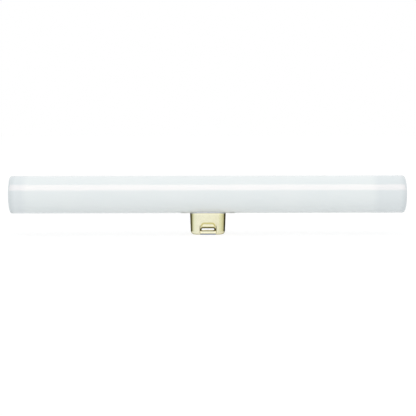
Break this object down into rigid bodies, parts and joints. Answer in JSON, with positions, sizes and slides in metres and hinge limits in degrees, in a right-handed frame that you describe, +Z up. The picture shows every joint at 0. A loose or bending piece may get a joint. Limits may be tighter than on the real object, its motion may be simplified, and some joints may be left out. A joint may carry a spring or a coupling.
{
  "type": "tubular light bulb",
  "caption": "Straight opal glass tube lamp with closed ends, on one oblong brass peg cap under its middle, with latch windows and recessed contacts in an insulating foot.",
  "frame": {"origin": "centre of the foot of the peg cap, which is the lowest face and lies under the middle of the tube", "axes": "+X along the tube, +Z up from the cap's foot through the tube, -Y towards the side that the picture shows"},
  "size_m": [0.3, 0.0284, 0.0443],
  "materials": {
    "opal_glass": "white opal glass, glossy outside",
    "brass": "pale drawn sheet, bright",
    "cement": "basing cement, matt",
    "insulator": "slate blue, glossy",
    "contact_metal": "stamped, satin",
    "lead_wire": "drawn wire",
    "solder": "soft solder, satin"
  },
  "bodies": {
    "root": {"opal_tube": "opal_glass", "cap_shell": "brass", "cap_cement": "cement", "contact_insulator": "insulator", "contact_plate_left": "contact_metal", "contact_plate_right": "contact_metal", "lead_wire_left": "lead_wire", "lead_wire_right": "lead_wire", "solder_bead_left": "solder", "solder_bead_right": "solder"}
  },
  "joints": []
}
